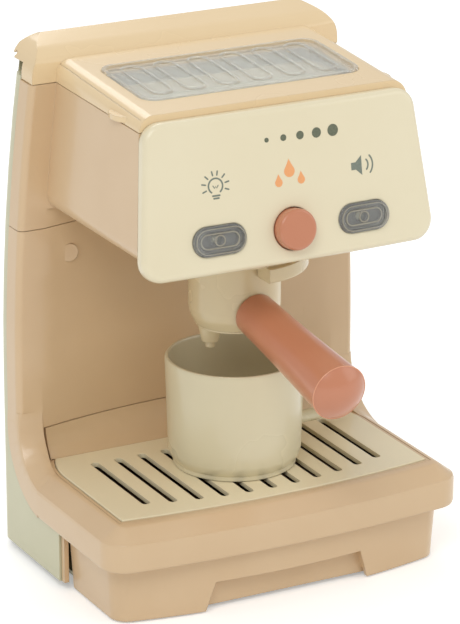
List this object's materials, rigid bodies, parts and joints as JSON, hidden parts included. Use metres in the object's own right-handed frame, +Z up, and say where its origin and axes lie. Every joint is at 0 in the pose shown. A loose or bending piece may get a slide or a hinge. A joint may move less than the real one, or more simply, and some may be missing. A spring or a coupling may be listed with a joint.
{
  "type": "toy coffee maker",
  "caption": "Toy espresso machine with a hinged top with a clear window, push buttons, a turning filter handle, a cup on a slotted tray and a pull-out drawer.",
  "frame": {"origin": "on the table under the middle of the whole bounding box, handle included", "axes": "+X to the right of the machine, +Y to its back, +Z up"},
  "size_m": [0.188, 0.1774, 0.255],
  "materials": {
    "beige_shell": "gloss",
    "cream_panel": "gloss",
    "shell_cream": "gloss",
    "cup_cream": "gloss",
    "terracotta": "satin",
    "clear_plastic": "gloss",
    "strainer_green": "satin",
    "inner_plastic": "matte",
    "dark_plastic": "satin",
    "board_green": "satin",
    "screw_steel": "satin",
    "motor_steel": "satin",
    "contact_steel": "gloss",
    "cell_wrap": "gloss",
    "hose_clear": "satin",
    "foot_rubber": "matte",
    "paper_cone": "matte",
    "wire_red": "satin"
  },
  "bodies": {
    "housing": {"rear_cover": "shell_cream", "lower_housing": "beige_shell", "upper_housing": "beige_shell", "front_panel": "cream_panel", "base_plate": "shell_cream", "drip_tray": "beige_shell", "lid_hinge_pins": "screw_steel", "water_tank": "inner_plastic", "strainer_plate": "strainer_green", "pump_housing": "inner_plastic", "pump_cover": "inner_plastic", "pump_motor": "motor_steel", "inlet_hose": "hose_clear", "outlet_hose": "hose_clear", "group_head": "cup_cream", "lamps": "clear_plastic", "lighting_spring": "contact_steel", "sound_spring": "contact_steel", "flow_spring": "contact_steel", "tact_switches": "dark_plastic", "control_board": "board_green", "panel_screws": "screw_steel", "speaker_frame": "motor_steel", "speaker_cone": "paper_cone", "battery_box": "inner_plastic", "batteries": "cell_wrap", "battery_contacts": "contact_steel", "housing_screws": "screw_steel", "wire_harness": "wire_red", "rubber_feet": "foot_rubber"},
    "lid": {"top_cover": "beige_shell", "top_window": "clear_plastic"},
    "grille": {"drip_grille": "cup_cream"},
    "cup": {"coffee_cup": "cup_cream"},
    "drawer": {"water_drawer": "beige_shell"},
    "portafilter": {"portafilter_body": "cup_cream", "filter_basket": "motor_steel", "spout_pair": "cup_cream", "portafilter_handle": "terracotta", "handle_screw": "screw_steel", "handle_end_cap": "terracotta"},
    "impeller": {"pump_impeller": "inner_plastic", "motor_shaft": "motor_steel"},
    "light_key": {"lighting_button": "clear_plastic", "lighting_reflector": "dark_plastic"},
    "sound_key": {"sound_button": "clear_plastic", "sound_reflector": "dark_plastic"},
    "flow_key": {"flow_button": "terracotta"},
    "battery_hatch": {"battery_door": "shell_cream", "battery_door_screw": "screw_steel"}
  },
  "joints": [
    {"name": "lid_hinge", "type": "hinge", "parent": "housing", "child": "lid", "pos_m": [0, 0.0861, 0.246], "axis": [-1, 0, 0], "range_deg": [0, 75]},
    {"name": "grille_lift", "type": "slide", "parent": "housing", "child": "grille", "axis": [0, 0, 1], "range_m": [0, 0.004]},
    {"name": "cup_slide", "type": "slide", "parent": "grille", "child": "cup", "axis": [0, -1, 0], "range_m": [0, 0.045]},
    {"name": "drawer_slide", "type": "slide", "parent": "housing", "child": "drawer", "axis": [0, -1, 0], "range_m": [0, 0.05]},
    {"name": "portafilter_turn", "type": "hinge", "parent": "housing", "child": "portafilter", "pos_m": [0, 0.0175, 0.15], "axis": [0, 0, 1], "range_deg": [-50, 0]},
    {"name": "pump_spin", "type": "hinge", "parent": "housing", "child": "impeller", "pos_m": [0.042, 0.0265, 0.18], "axis": [0, 0, 1], "continuous": true},
    {"name": "light_press", "type": "slide", "parent": "housing", "child": "light_key", "axis": [0, 0.986, -0.1668], "range_m": [0, 0.0012], "stiffness_N_per_m": 400, "springref_m": -0.001, "deforming": ["lighting_spring"]},
    {"name": "sound_press", "type": "slide", "parent": "housing", "child": "sound_key", "axis": [0, 0.986, -0.1668], "range_m": [0, 0.0012], "stiffness_N_per_m": 400, "springref_m": -0.001, "deforming": ["sound_spring"]},
    {"name": "flow_press", "type": "slide", "parent": "housing", "child": "flow_key", "axis": [0, 0.986, -0.1668], "range_m": [0, 0.002], "stiffness_N_per_m": 400, "springref_m": -0.001, "deforming": ["flow_spring"]},
    {"name": "battery_hatch_drop", "type": "slide", "parent": "housing", "child": "battery_hatch", "axis": [0, 0, -1], "range_m": [0, 0.012]}
  ]
}
